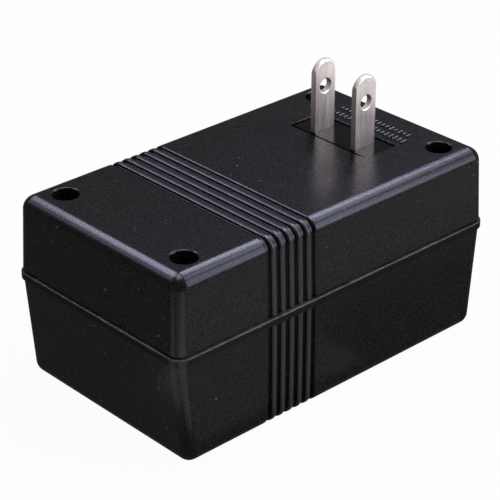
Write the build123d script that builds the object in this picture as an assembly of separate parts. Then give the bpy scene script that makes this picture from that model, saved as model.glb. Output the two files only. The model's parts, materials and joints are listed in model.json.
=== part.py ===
from build123d import *
import os

os.makedirs("parts", exist_ok=True)

# A travel voltage converter: a black two-shell case with a transformer and an outlet inside it and
# two plug blades on its rear face. Millimetres. It lies on its front face, the one with the outlet.
# The origin is the middle of that face, +Z points to the rear face, and +X to the end with the blades.

# Shared fits
overrun = 6.0               # how far every cut runs past what it cuts
slip_gap = 0.12             # round a piece that is pushed into another
thread_gap = 0.1            # between a screw's shank and its pilot hole
room_gap = 1.2              # least free room between the transformer's feet and what stands round them

# Case, measured on its outside
body_height = 44.5
parting_height = 26.5       # top of the front shell's rim
parting_gap = 0.4           # the dark line above the rim
rear_length = 90.4          # at the rear face, before its edge is rounded
rear_width = 51.8
rim_length = 91.8           # at the parting line
rim_width = 53.0
front_length = 87.3         # at the front face, before its edge is rounded
front_width = 52.8
corner_radius = 2.8
rear_edge_radius = 3.2
front_edge_radius = 2.9
wall = 2.2
cavity_corner_radius = 1.6
cavity_edge_radius = 1.0

# Rim: a proud band outside, and a tongue of the rear shell in a rabbet inside
band_height = 1.8
band_proud = 0.4
band_edge_radius = 0.2
tongue_thickness = 0.9
tongue_length = 1.5

# Grooves that run round the middle of the case
groove_count = 6
groove_pitch = 2.5
groove_width = 1.05
groove_depth = 0.7
groove_middle_x = -14.25

# Screw wells in the rear shell, and the posts that they meet
well_inset_x = 7.6          # from the end of the rear face to a well's axis
well_inset_y = 6.8
well_radius = 2.9
well_wall = 1.3
well_meet_height = 24.0     # where a well's end sits on its post
well_floor = 3.0
well_mouth_bevel = 0.25
post_radius = 3.6
post_rib_thickness = 1.2

# Case screws
case_screw_head_radius = 2.6
case_screw_head_height = 2.0
case_screw_shank_radius = 1.3
case_screw_length = 15.0
case_screw_hole_radius = 1.6

# Small screws, of the blade clamp, the outlet's cover and the transformer's strap
small_screw_head_radius = 2.3
small_screw_head_height = 1.7
small_screw_shank_radius = 1.1
small_screw_length = 6.5
small_screw_hole_radius = 1.35
small_post_radius = 2.7

# A screw's cross recess, tip and head rounding, as shares of its head and shank
recess_length_share = 1.2
recess_width_share = 0.28
recess_depth_share = 0.55
tip_length_share = 1.6
tip_radius_share = 0.25
head_round_share = 0.6

# Plug blades
plug_inset = 18.8           # from the end of the rear face to the blades' middle
blade_spacing = 12.7
blade_width = 6.35
blade_thickness = 1.5
blade_reach = 16.8          # from the rear face to the top of the tip
blade_tip_rise = 2.0        # height of the tip's arch
blade_tip_bevel = 0.45
blade_edge_bevel = 0.15
blade_hole_radius = 1.6
blade_hole_reach = 10.4
blade_hole_bevel = 0.2
blade_shoulder_width = 9.0
blade_shoulder_height = 1.8
blade_tail_width = 4.0
blade_tail_length = 5.0     # below the clamp

# Blade carrier, whose face is the smooth sunk rectangle round the blades
pad_length = 9.4
pad_width = 24.0
pad_depth = 0.35
pad_offset_x = 0.3          # from the blades' middle
pad_corner_radius = 0.5
carrier_margin = 2.0        # how far its flange reaches round the opening
carrier_flange_height = 4.8
clamp_thickness = 3.0
clamp_ear_radius = 3.2
clamp_post_gap = 0.7        # from the carrier's flange to the clamp's posts

# Outlet in the front shell
socket_hole_radius = 2.5
socket_hole_spacing = 19.0
socket_slot_spacing = 12.7
socket_slot_width = 2.0
socket_slot_length = 7.4
socket_face_length = 14.0
socket_face_width = 28.0
socket_face_recess = 0.4
socket_face_corner_radius = 1.0
socket_flange = 1.5         # how far the body is wider than its face
socket_guide_length = 8.0   # length of the pin holes
socket_body_height = 14.8   # above the front shell's inner face
socket_chamber_wall = 2.3
socket_cover_thickness = 2.0
socket_post_gap = 0.4

# Outlet contacts
contact_thickness = 0.5
contact_width = 7.0
contact_shelf = 0.7         # how far each end of its base lies on a ledge of the chamber
contact_mouth_gap = 2.5     # from the end of a pin hole to the contact's mouth
contact_blade_grip = 1.4    # between the two leaves that take a flat blade
contact_pin_grip = 4.0      # between the two leaves that take a round pin
contact_flare_height = 1.0
contact_flare = 0.35
contact_tail_width = 3.0
contact_tail_length = 3.5   # above the cover

# Transformer: scrapless E and I laminations, whose sizes are multiples of one unit
core_width_units = 6
window_height_units = 3
core_seat_height = 1.8      # ribs on the front shell's floor
core_seat_width = 2.0
core_top_room = 2.5         # above the strap
core_side_room = 1.9        # from the stack to the wells
strap_thickness = 0.8
strap_width = 20.0
strap_foot_length = 6.9
strap_post_height = 6.8
strap_post_radius = 3.0
bobbin_wall = 0.9
bobbin_flange_thickness = 0.9
winding_gap = 0.1
winding_corner_radius = 3.0
tape_thickness = 0.2
pin_rail_width = 5.0
pin_rail_height = 2.4
pin_rail_gap = 2.0          # from the stack to the rail
pin_radius = 0.5
pin_depth = 2.0
pin_length = 5.2
pin_spacing = 10.0

# Thermal cut-out, taped to the lower winding
cutout_radius = 1.7
cutout_length = 10.0
cutout_end_radius = 1.1
cutout_end_length = 0.8

# Leads
lead_radius = 0.8
lead_bend_radius = 2.2
lead_rise = 2.8             # above the terminal pins
lead_clearance = 3.4        # between leads that pass each other
lead_tip_gap = 1.2          # from the end of a tail to the axis of its lead
lead_top_room = 0.4         # least free room between the leads and the rear shell

# Places worked out from those sizes
rear_inner_height = body_height - wall
post_reach = wall / 2 + post_radius     # least distance from a post's axis to the outside of the front shell
well_x = min(rear_length / 2 - well_inset_x, rim_length / 2 - well_inset_x, front_length / 2 - post_reach)
well_y = min(rear_width / 2 - well_inset_y, rim_width / 2 - well_inset_y, front_width / 2 - post_reach)
well_outer_radius = well_radius + well_wall
plug_x = rear_length / 2 - plug_inset
pad_x = plug_x + pad_offset_x
carrier_bottom = rear_inner_height - carrier_flange_height
carrier_flange_length = pad_length + 2 * carrier_margin
carrier_flange_width = pad_width + 2 * carrier_margin
clamp_bottom = carrier_bottom - clamp_thickness
clamp_post_y = carrier_flange_width / 2 + clamp_post_gap + small_post_radius
blade_tail_end = clamp_bottom - blade_tail_length
socket_x = plug_x
socket_length = socket_face_length + 2 * socket_flange
socket_width = socket_face_width + 2 * socket_flange
socket_top = wall + socket_body_height
socket_post_y = socket_width / 2 + socket_post_gap + small_post_radius
guide_end = socket_face_recess + socket_guide_length
contact_base_bottom = socket_top - contact_thickness
contact_base_length = contact_width + 2 * contact_shelf
contact_tail_x = socket_x - contact_base_length / 2 + contact_thickness / 2
contact_tail_end = socket_top + socket_cover_thickness + contact_tail_length

# The transformer takes the largest lamination that the case has room for
core_bottom = wall + core_seat_height
foot_reach = slip_gap + strap_thickness + strap_foot_length
room_from = -front_length / 2 + wall + room_gap
room_to = socket_x - socket_length / 2 - room_gap / 2
unit_by_length = (room_to - room_from - 2 * foot_reach) / core_width_units
core_height_units = window_height_units + 2
core_top_limit = rear_inner_height - core_top_room - strap_thickness
unit_by_height = (core_top_limit - core_bottom) / core_height_units
lead_loft = pin_rail_height - slip_gap - pin_depth + pin_length + lead_rise     # above the windows' top
window_top_limit = rear_inner_height - lead_top_room - lead_radius - lead_loft
unit_by_leads = (window_top_limit - core_bottom) / (window_height_units + 1)
unit = min(unit_by_length, unit_by_height, unit_by_leads)
core_width = core_width_units * unit
core_x = room_to - foot_reach - core_width / 2
window_bottom = core_bottom + unit
window_top = window_bottom + window_height_units * unit
core_top = window_top + unit
winding_reach = unit - 2 * winding_gap - tape_thickness     # outer face of the windings from the leg
cavity_half_width = min(front_width, rim_width, rear_width) / 2 - wall
stack_by_wells = 2 * (well_y - well_outer_radius - core_side_room)
stack_by_width = 2 * (cavity_half_width - unit - 2 * cutout_radius - 2 * slip_gap)
stack_depth = min(stack_by_wells, stack_by_width)
flange_length = 4 * unit - 2 * winding_gap
flange_width = stack_depth + 2 * unit + 2 * tape_thickness
middle_flange_bottom = (window_bottom + window_top - bobbin_flange_thickness) / 2
pin_y = stack_depth / 2 + pin_rail_gap + pin_rail_width / 2
rail_top = window_top - slip_gap + pin_rail_height
pin_top = rail_top - pin_depth + pin_length
cutout_y = -(stack_depth / 2 + winding_reach + winding_gap + tape_thickness + slip_gap + cutout_radius)
cutout_z = (window_bottom + bobbin_flange_thickness + middle_flange_bottom) / 2
strap_foot_bottom = wall + strap_post_height
strap_foot_x = core_width / 2 + foot_reach - strap_foot_length / 2

SIDES = (-1, 1)
CORNERS = [(side_x, side_y) for side_x in SIDES for side_y in SIDES]


def block(x, y, length, width, z_from, z_to):
    """Upright block centred on x and y."""
    return Pos(x, y, (z_from + z_to) / 2) * Box(length, width, z_to - z_from)


def rounded_block(x, y, length, width, z_from, z_to, radius):
    """Upright block with rounded vertical edges."""
    outline = Pos(x, y, z_from) * RectangleRounded(length, width, radius)
    return extrude(outline, z_to - z_from)


def post(x, y, radius, z_from, z_to):
    """Upright cylinder."""
    return Pos(x, y, (z_from + z_to) / 2) * Cylinder(radius, z_to - z_from)


def drafted_block(low, high, z_low, z_high, radius):
    """Block with flat drafted sides: low and high are its length and width at the two heights."""
    along = Polyline((-low[0] / 2, z_low), (low[0] / 2, z_low), (high[0] / 2, z_high),
                     (-high[0] / 2, z_high), close=True)
    across = Polyline((-low[1] / 2, z_low), (low[1] / 2, z_low), (high[1] / 2, z_high),
                      (-high[1] / 2, z_high), close=True)
    solid = extrude(Plane.XZ * make_face(along), max(low[1], high[1]), both=True)
    solid &= extrude(Plane.YZ * make_face(across), max(low[0], high[0]), both=True)
    upright = solid.edges().filter_by(lambda edge: abs((edge @ 1 - edge @ 0).Z) > (z_high - z_low) / 2)
    return fillet(upright, radius)


def rear_size(height, inset=0):
    """Length and width of the rear shell at a height, drawn in by inset."""
    share = (height - parting_height) / (body_height - parting_height)
    length = rim_length + (rear_length - rim_length) * share
    width = rim_width + (rear_width - rim_width) * share
    return length - 2 * inset, width - 2 * inset


def front_size(height, inset=0):
    """Length and width of the front shell at a height, drawn in by inset."""
    share = height / parting_height
    length = front_length + (rim_length - front_length) * share
    width = front_width + (rim_width - front_width) * share
    return length - 2 * inset, width - 2 * inset


def rear_block(inset=0):
    """Outside of the rear shell, or the same form drawn in by inset."""
    low = parting_height + parting_gap
    high = body_height - inset
    solid = drafted_block(rear_size(low, inset), rear_size(high, inset), low, high, corner_radius - inset)
    return fillet(solid.faces().sort_by(Axis.Z)[-1].edges(), rear_edge_radius - inset)


def front_block(inset=0):
    """Outside of the front shell, or the same form drawn in by inset."""
    solid = drafted_block(front_size(inset, inset), front_size(parting_height, inset), inset,
                          parting_height, corner_radius - inset)
    return fillet(solid.faces().sort_by(Axis.Z)[0].edges(), front_edge_radius - inset)


def groove_slabs(z_from, z_to):
    """Flat slabs across the case, one for each groove."""
    reach = rim_width + 2 * overrun
    slabs = Part()
    for index in range(groove_count):
        x = groove_middle_x + (index - (groove_count - 1) / 2) * groove_pitch
        slabs += block(x, 0, groove_width, reach, z_from, z_to)
    return slabs


def tongue_ring(z_from, z_to, gap=0, open_side=0):
    """Ring of the rear shell's tongue, or of the rabbet round it, which is open to the cavity."""
    outset = wall - tongue_thickness - gap
    outer = front_size(parting_height, outset)
    inner = front_size(parting_height, wall + open_side)
    ring = rounded_block(0, 0, outer[0], outer[1], z_from, z_to, corner_radius - outset)
    inside = rounded_block(0, 0, inner[0], inner[1], z_from - overrun, z_to + overrun, cavity_corner_radius)
    return ring - inside


def make_rear_shell():
    """Half of the case that carries the plug: walls, screw wells, clamp posts and tongue."""
    low = parting_height + parting_gap
    shell = rear_block() - (groove_slabs(low - overrun, body_height + overrun) - rear_block(groove_depth))
    cavity = drafted_block(rear_size(low - overrun, wall), rear_size(rear_inner_height, wall),
                           low - overrun, rear_inner_height, cavity_corner_radius)
    cavity = fillet(cavity.faces().sort_by(Axis.Z)[-1].edges(), cavity_edge_radius)
    shell -= cavity
    shell += tongue_ring(low - tongue_length, low + wall)
    for side_x, side_y in CORNERS:
        shell += post(side_x * well_x, side_y * well_y, well_outer_radius, well_meet_height,
                      rear_inner_height)
    for side_y in SIDES:
        shell += post(pad_x, side_y * clamp_post_y, small_post_radius, carrier_bottom, rear_inner_height)
    for side_x, side_y in CORNERS:
        x = side_x * well_x
        y = side_y * well_y
        shell -= post(x, y, well_radius, well_meet_height + well_floor, body_height + overrun)
        shell -= post(x, y, case_screw_hole_radius, well_meet_height - overrun, body_height)
        mouth = Cone(well_radius, well_radius + well_mouth_bevel, well_mouth_bevel)
        shell -= Pos(x, y, body_height - well_mouth_bevel / 2) * mouth
    for side_y in SIDES:
        hole_radius = small_screw_shank_radius + thread_gap
        shell -= post(pad_x, side_y * clamp_post_y, hole_radius, carrier_bottom - overrun, rear_inner_height)
    opening = rounded_block(pad_x, 0, pad_length, pad_width, rear_inner_height - overrun,
                            body_height + overrun, pad_corner_radius)
    return shell - opening


def rim_band():
    """The proud plain band round the front shell's rim."""
    bottom = parting_height - band_height
    length, width = front_size(parting_height, -band_proud)
    band = rounded_block(0, 0, length, width, bottom, parting_height, corner_radius + band_proud)
    rims = band.faces().filter_by(Axis.Z).edges()
    return fillet(rims, band_edge_radius)


def make_front_shell():
    """Half of the case that it lies on: walls, rim band, posts, core seats and outlet opening."""
    band_bottom = parting_height - band_height
    shell = front_block() - (groove_slabs(-overrun, band_bottom) - front_block(groove_depth))
    shell += rim_band()
    cavity = drafted_block(front_size(wall, wall), front_size(parting_height + overrun, wall), wall,
                           parting_height + overrun, cavity_corner_radius)
    cavity = fillet(cavity.faces().sort_by(Axis.Z)[0].edges(), cavity_edge_radius)
    shell -= cavity
    shell -= tongue_ring(parting_height - tongue_length, parting_height + overrun, slip_gap, tongue_thickness)
    half_length = front_length / 2 - wall / 2
    half_width = front_width / 2 - wall / 2
    rib_top = (wall + well_meet_height) / 2
    for side_x, side_y in CORNERS:
        x = side_x * well_x
        y = side_y * well_y
        shell += post(x, y, post_radius, wall / 2, well_meet_height)
        end_rib = half_length - well_x
        side_rib = half_width - well_y
        shell += block(side_x * (well_x + end_rib / 2), y, end_rib, post_rib_thickness, wall / 2, rib_top)
        shell += block(x, side_y * (well_y + side_rib / 2), post_rib_thickness, side_rib, wall / 2, rib_top)
    for side in SIDES:
        shell += post(core_x + side * strap_foot_x, 0, strap_post_radius, wall / 2, strap_foot_bottom)
        shell += post(socket_x, side * socket_post_y, small_post_radius, wall / 2, socket_top)
        seat_x = core_x + side * (core_width - 2 * unit) / 2
        shell += block(seat_x, 0, core_seat_width, stack_depth, wall / 2, core_bottom)
    case_pilot = case_screw_shank_radius + thread_gap
    case_screw_tip = well_meet_height + well_floor - case_screw_length
    for side_x, side_y in CORNERS:
        shell -= post(side_x * well_x, side_y * well_y, case_pilot, case_screw_tip - thread_gap,
                      well_meet_height + overrun)
    pilot = small_screw_shank_radius + thread_gap
    socket_screw_tip = socket_top + socket_cover_thickness - small_screw_length
    strap_screw_tip = strap_foot_bottom + strap_thickness - small_screw_length
    for side in SIDES:
        shell -= post(socket_x, side * socket_post_y, pilot, socket_screw_tip - thread_gap,
                      socket_top + overrun)
        shell -= post(core_x + side * strap_foot_x, 0, pilot, strap_screw_tip - thread_gap,
                      strap_foot_bottom + overrun)
    opening = rounded_block(socket_x, 0, socket_face_length, socket_face_width, -overrun, wall + overrun,
                            socket_face_corner_radius)
    return shell - opening


def blade_slot(y, width, z_from, z_to):
    """Slot for one blade, with room all round it."""
    return block(plug_x, y, width + 2 * slip_gap, blade_thickness + 2 * slip_gap, z_from, z_to)


def make_blade_carrier():
    """Insulating insert: its face fills the rear opening and its flange lies behind the rear wall."""
    face_top = body_height - pad_depth
    face = rounded_block(pad_x, 0, pad_length - 2 * slip_gap, pad_width - 2 * slip_gap, carrier_bottom,
                         face_top, pad_corner_radius)
    flange = block(pad_x, 0, carrier_flange_length, carrier_flange_width, carrier_bottom, rear_inner_height)
    carrier = face + flange
    for side in SIDES:
        y = side * blade_spacing / 2
        carrier -= blade_slot(y, blade_width, carrier_bottom - overrun, body_height + overrun)
        carrier -= blade_slot(y, blade_shoulder_width, carrier_bottom - overrun,
                              carrier_bottom + blade_shoulder_height)
    return carrier


def make_blade_clamp():
    """Plate screwed over the carrier, which traps the blades by their shoulders."""
    clamp = block(pad_x, 0, carrier_flange_length, carrier_flange_width, clamp_bottom, carrier_bottom)
    clamp += block(pad_x, 0, 2 * clamp_ear_radius, 2 * clamp_post_y, clamp_bottom, carrier_bottom)
    for side in SIDES:
        y = side * clamp_post_y
        clamp += post(pad_x, y, clamp_ear_radius, clamp_bottom, carrier_bottom)
    for side in SIDES:
        y = side * clamp_post_y
        clamp -= post(pad_x, y, small_screw_hole_radius, clamp_bottom - overrun, carrier_bottom + overrun)
        clamp -= blade_slot(side * blade_spacing / 2, blade_tail_width, clamp_bottom - overrun,
                            carrier_bottom + overrun)
    return clamp


def make_blade(side):
    """Flat plug blade with an arched, bevelled tip, a hole, shoulders and a tail for its lead."""
    half = blade_width / 2
    tip_start = body_height + blade_reach - blade_tip_rise
    shoulder_top = carrier_bottom + blade_shoulder_height
    outline = Polyline((-half, tip_start), (-half, shoulder_top), (half, shoulder_top), (half, tip_start))
    arch = ThreePointArc((half, tip_start), (0, body_height + blade_reach), (-half, tip_start))
    face = make_face(outline + arch)
    blade = extrude(Plane.XZ * face, blade_thickness / 2, both=True)
    long_edges = blade.edges().filter_by(Axis.Z)
    blade = chamfer(long_edges, blade_edge_bevel)
    arch_edges = blade.edges().filter_by(GeomType.CIRCLE).filter_by(
        lambda edge: edge.radius > half)
    blade = chamfer(arch_edges, blade_tip_bevel)
    hole = Rot(90, 0, 0) * Cylinder(blade_hole_radius, blade_thickness + 2 * overrun)
    blade -= Pos(0, 0, body_height + blade_hole_reach) * hole
    hole_edges = blade.edges().filter_by(GeomType.CIRCLE).filter_by(
        lambda edge: edge.radius < (blade_hole_radius + half) / 2)
    blade = chamfer(hole_edges, blade_hole_bevel)
    blade += block(0, 0, blade_shoulder_width, blade_thickness, carrier_bottom, shoulder_top)
    blade += block(0, 0, blade_tail_width, blade_thickness, blade_tail_end, carrier_bottom)
    return Pos(plug_x, side * blade_spacing / 2, 0) * blade


def make_screw(head_radius, head_height, shank_radius, length):
    """Self-tapping screw that points down, with the underside of its head at the origin."""
    head = post(0, 0, head_radius, 0, head_height)
    head = fillet(head.edges().sort_by(Axis.Z)[-1], head_height * head_round_share)
    recess_length = head_radius * recess_length_share
    recess_width = head_radius * recess_width_share
    recess_bottom = head_height * (1 - recess_depth_share)
    head -= block(0, 0, recess_length, recess_width, recess_bottom, head_height + overrun)
    head -= block(0, 0, recess_width, recess_length, recess_bottom, head_height + overrun)
    tip_length = shank_radius * tip_length_share
    shank = post(0, 0, shank_radius, tip_length - length, 0)
    tip = Cone(shank_radius * tip_radius_share, shank_radius, tip_length)
    return head + shank + Pos(0, 0, tip_length / 2 - length) * tip


def make_case_screw():
    return make_screw(case_screw_head_radius, case_screw_head_height, case_screw_shank_radius,
                      case_screw_length)


def make_small_screw():
    return make_screw(small_screw_head_radius, small_screw_head_height, small_screw_shank_radius,
                      small_screw_length)


def make_case_screws():
    seat = well_meet_height + well_floor
    return [Pos(side_x * well_x, side_y * well_y, seat) * make_case_screw() for side_x, side_y in CORNERS]


def make_clamp_screws():
    """They point up, into the rear shell's posts."""
    return [Pos(pad_x, side * clamp_post_y, clamp_bottom) * Rot(180, 0, 0) * make_small_screw()
            for side in SIDES]


def make_socket_screws():
    seat = socket_top + socket_cover_thickness
    return [Pos(socket_x, side * socket_post_y, seat) * make_small_screw() for side in SIDES]


def make_strap_screws():
    seat = strap_foot_bottom + strap_thickness
    return [Pos(core_x + side * strap_foot_x, 0, seat) * make_small_screw() for side in SIDES]


def contact_leaves():
    """Middle of each leaf across the outlet, for the contact on the +Y side."""
    pin_y_middle = socket_hole_spacing / 2
    outer = pin_y_middle + (contact_pin_grip + contact_thickness) / 2
    shared = pin_y_middle - (contact_pin_grip + contact_thickness) / 2
    inner = shared - contact_thickness - contact_blade_grip
    return inner, shared, outer


def make_socket_body():
    """Insulating body of the outlet: face, pin holes, blade slots and a chamber for each contact."""
    body = rounded_block(socket_x, 0, socket_face_length - 2 * slip_gap, socket_face_width - 2 * slip_gap,
                         socket_face_recess, socket_top, socket_face_corner_radius)
    body += block(socket_x, 0, socket_length, socket_width, wall, socket_top)
    inner, shared, outer = contact_leaves()
    chamber_from = inner - contact_thickness / 2 - contact_flare - slip_gap
    chamber_to = socket_width / 2 - socket_chamber_wall
    chamber_y = (chamber_from + chamber_to) / 2
    chamber_width = chamber_to - chamber_from
    for side in SIDES:
        y = side * socket_hole_spacing / 2
        body -= post(socket_x, y, socket_hole_radius, -overrun, guide_end + slip_gap)
        body -= block(socket_x, side * socket_slot_spacing / 2, socket_slot_length, socket_slot_width,
                      -overrun, guide_end + slip_gap)
        body -= block(socket_x, side * chamber_y, contact_width + 2 * slip_gap, chamber_width, guide_end,
                      socket_top + overrun)
        body -= block(socket_x, side * chamber_y, contact_base_length + 2 * slip_gap, chamber_width,
                      contact_base_bottom, socket_top + overrun)
    return body


def make_socket_contact(side):
    """Sprung brass contact: two leaves for a round pin, two for a flat blade, and a tail."""
    inner, shared, outer = contact_leaves()
    base = contact_base_bottom + contact_thickness / 2
    mouth = guide_end + contact_mouth_gap
    bend = mouth + contact_flare_height
    channel = Polyline(
        (outer + contact_flare, mouth),
        (outer, bend),
        (outer, base),
        (inner, base),
        (inner, bend),
        (inner - contact_flare, mouth),
    )
    middle_leaf = Line((shared, mouth), (shared, base))
    profile = trace(channel, line_width=contact_thickness) + trace(middle_leaf, line_width=contact_thickness)
    contact = Pos(socket_x, 0, 0) * extrude(Plane.YZ * profile, contact_width / 2, both=True)
    base_width = outer - inner + contact_thickness
    contact += block(socket_x, (outer + inner) / 2, contact_base_length, base_width, contact_base_bottom,
                     socket_top)
    contact += block(contact_tail_x, socket_hole_spacing / 2, contact_thickness, contact_tail_width,
                     contact_base_bottom, contact_tail_end)
    if side < 0:
        contact = mirror(contact, about=Plane.XZ)
    return contact


def make_socket_cover():
    """Plate that shuts the contacts in, with an ear at each end for its screw."""
    cover_top = socket_top + socket_cover_thickness
    cover = block(socket_x, 0, socket_length, socket_width, socket_top, cover_top)
    cover += block(socket_x, 0, 2 * clamp_ear_radius, 2 * socket_post_y, socket_top, cover_top)
    for side in SIDES:
        cover += post(socket_x, side * socket_post_y, clamp_ear_radius, socket_top, cover_top)
    for side in SIDES:
        cover -= post(socket_x, side * socket_post_y, small_screw_hole_radius, socket_top - overrun,
                      cover_top + overrun)
        cover -= block(contact_tail_x, side * socket_hole_spacing / 2, contact_thickness + 2 * slip_gap,
                       contact_tail_width + 2 * slip_gap, socket_top - overrun, cover_top + overrun)
    return cover


def make_core_e_stack():
    """Stack of E laminations, with its back on the core seats and its legs up."""
    core = block(core_x, 0, core_width, stack_depth, core_bottom, window_top)
    for side in SIDES:
        window_x = core_x + side * (unit + unit / 2)
        core -= block(window_x, 0, unit, stack_depth + 2 * overrun, window_bottom, window_top + overrun)
    return core


def make_core_i_stack():
    """Stack of I laminations that closes the magnetic path over the legs."""
    return block(core_x, 0, core_width, stack_depth, window_top, core_top)


def leg_room(gap):
    """Length and width of the outline that runs round the core's middle leg at a gap."""
    return 2 * unit + 2 * gap, stack_depth + 2 * gap


def make_bobbin():
    """Split bobbin: a tube on the middle leg, three flanges, and a rail of pins on each side."""
    top = window_top - slip_gap
    bobbin = block(core_x, 0, *leg_room(slip_gap + bobbin_wall), window_bottom, top)
    for bottom in (window_bottom, middle_flange_bottom, top - bobbin_flange_thickness):
        bobbin += block(core_x, 0, flange_length, flange_width, bottom, bottom + bobbin_flange_thickness)
    for side in SIDES:
        bobbin += block(core_x, side * pin_y, flange_length, pin_rail_width, top - bobbin_flange_thickness,
                        rail_top)
    bobbin -= block(core_x, 0, *leg_room(slip_gap), window_bottom - overrun, window_top + overrun)
    for side_x, side_y in CORNERS:
        x = core_x + side_x * pin_spacing / 2
        bobbin -= post(x, side_y * pin_y, pin_radius + slip_gap, rail_top - pin_depth, rail_top + overrun)
    return bobbin


def winding_heights():
    """Bottom and top of the lower and the upper winding."""
    lower = (window_bottom + bobbin_flange_thickness, middle_flange_bottom)
    upper = (middle_flange_bottom + bobbin_flange_thickness, window_top - slip_gap - bobbin_flange_thickness)
    return lower, upper


def make_winding(heights):
    """Wound copper as one ring between two flanges."""
    inner = leg_room(slip_gap + bobbin_wall + winding_gap)
    bottom = heights[0] + winding_gap
    top = heights[1] - winding_gap
    ring = rounded_block(core_x, 0, *leg_room(winding_reach), bottom, top, winding_corner_radius)
    return ring - block(core_x, 0, *inner, bottom - overrun, top + overrun)


def make_tape(heights):
    """Insulating wrap round one winding."""
    bottom = heights[0] + winding_gap
    top = heights[1] - winding_gap
    inner = leg_room(winding_reach + winding_gap)
    outer = leg_room(winding_reach + winding_gap + tape_thickness)
    inner_radius = winding_corner_radius + winding_gap
    band = rounded_block(core_x, 0, *outer, bottom, top, inner_radius + tape_thickness)
    return band - rounded_block(core_x, 0, *inner, bottom - overrun, top + overrun, inner_radius)


def make_terminal_pins():
    bottom = rail_top - pin_depth
    return [post(core_x + side_x * pin_spacing / 2, side_y * pin_y, pin_radius, bottom, pin_top)
            for side_x, side_y in CORNERS]


def make_core_strap():
    """Steel strap over the core, with a foot at each end screwed to the front shell."""
    side_x = core_width / 2 + slip_gap + strap_thickness / 2
    foot_end = core_width / 2 + foot_reach
    foot_z = strap_foot_bottom + strap_thickness / 2
    top_z = core_top + strap_thickness / 2
    path = Polyline(
        (-foot_end, foot_z),
        (-side_x, foot_z),
        (-side_x, top_z),
        (side_x, top_z),
        (side_x, foot_z),
        (foot_end, foot_z),
    )
    strap = extrude(Plane.XZ * trace(path, line_width=strap_thickness), strap_width / 2, both=True)
    for side in SIDES:
        strap -= post(side * strap_foot_x, 0, small_screw_hole_radius, foot_z - overrun, foot_z + overrun)
    return Pos(core_x, 0, 0) * strap


def make_thermal_cutout():
    """Small can with a collar at each end, lying along the lower winding."""
    can = Cylinder(cutout_radius, cutout_length)
    collars = Cylinder(cutout_end_radius, cutout_length + 2 * cutout_end_length)
    return Pos(core_x, cutout_y, cutout_z) * Rot(0, 90, 0) * (can + collars)


def make_lead(name, points, bends):
    """Insulated lead through the points, with the given bend radius at each corner."""
    path = FilletPolyline(*points, radius=bends)
    section = Plane(origin=path @ 0, z_dir=path % 0) * Circle(lead_radius)
    print(name, "length", round(path.length, 1), "least bend radius", min(bends))
    return sweep(section, path=path)


def make_leads():
    """The five leads, each from one metal end to the next."""
    left_pin_x = core_x - pin_spacing / 2
    right_pin_x = core_x + pin_spacing / 2
    loft = pin_top + lead_rise
    cutout_end = cutout_length / 2 + cutout_end_length
    blade_face = blade_spacing / 2 + blade_thickness / 2
    blade_lead_z = blade_tail_end + lead_tip_gap
    tail_face_x = socket_x - contact_base_length / 2
    socket_lead_z = contact_tail_end - lead_tip_gap
    socket_lead_y = socket_hole_spacing / 2
    strap_side_x = core_x + core_width / 2 + strap_thickness
    drop_x = strap_side_x + lead_clearance
    cross_x = drop_x + lead_clearance / 2
    turn_y = blade_face + 2 * lead_clearance
    outer_y = pin_y + lead_clearance
    round_bend = lead_bend_radius
    wide_bend = 2 * lead_bend_radius
    leads = {}
    leads["lead_input_direct"] = make_lead("lead_input_direct", [
        (right_pin_x, -pin_y, pin_top),
        (right_pin_x, -pin_y, loft),
        (strap_side_x, -pin_y, loft),
        (cross_x, -turn_y, blade_lead_z + lead_clearance),
        (cross_x, turn_y, blade_lead_z),
        (plug_x, turn_y, blade_lead_z),
        (plug_x, blade_face, blade_lead_z),
    ], [round_bend, wide_bend, wide_bend, round_bend, round_bend])
    leads["lead_input_to_cutout"] = make_lead("lead_input_to_cutout", [
        (left_pin_x, -pin_y, pin_top),
        (left_pin_x, -pin_y, loft),
        (left_pin_x - 2 * lead_clearance, cutout_y, loft),
        (left_pin_x - 2 * lead_clearance, cutout_y, cutout_z),
        (core_x - cutout_end, cutout_y, cutout_z),
    ], [round_bend, round_bend, round_bend])
    leads["lead_cutout_to_blade"] = make_lead("lead_cutout_to_blade", [
        (core_x + cutout_end, cutout_y, cutout_z),
        (strap_side_x, cutout_y, cutout_z),
        (cross_x, -turn_y - lead_clearance / 2, blade_lead_z - lead_clearance),
        (plug_x, -turn_y, blade_lead_z),
        (plug_x, -blade_face, blade_lead_z),
    ], [wide_bend, wide_bend, round_bend])
    leads["lead_output_right"] = make_lead("lead_output_right", [
        (right_pin_x, pin_y, pin_top),
        (right_pin_x, pin_y, loft),
        (strap_side_x, pin_y, loft),
        (drop_x, socket_lead_y + lead_clearance, socket_lead_z),
        (cross_x, socket_lead_y, socket_lead_z),
        (tail_face_x, socket_lead_y, socket_lead_z),
    ], [round_bend, wide_bend, round_bend, round_bend])
    leads["lead_output_left"] = make_lead("lead_output_left", [
        (left_pin_x, pin_y, pin_top),
        (left_pin_x, pin_y, loft),
        (left_pin_x + lead_clearance, outer_y, loft),
        (strap_side_x - lead_clearance, outer_y, loft),
        (drop_x + lead_clearance, pin_y, socket_lead_z + lead_clearance),
        (drop_x + lead_clearance, -socket_lead_y, socket_lead_z + lead_clearance),
        (cross_x + lead_clearance, -socket_lead_y, socket_lead_z),
        (tail_face_x, -socket_lead_y, socket_lead_z),
    ], [round_bend, round_bend, wide_bend, round_bend, round_bend, round_bend])
    return leads


def write(name, shape):
    """One STEP file for one piece, or for a list of like pieces."""
    solid = Compound(children=shape) if isinstance(shape, list) else shape
    solid.label = name
    export_step(solid, "parts/" + name + ".step")


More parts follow.
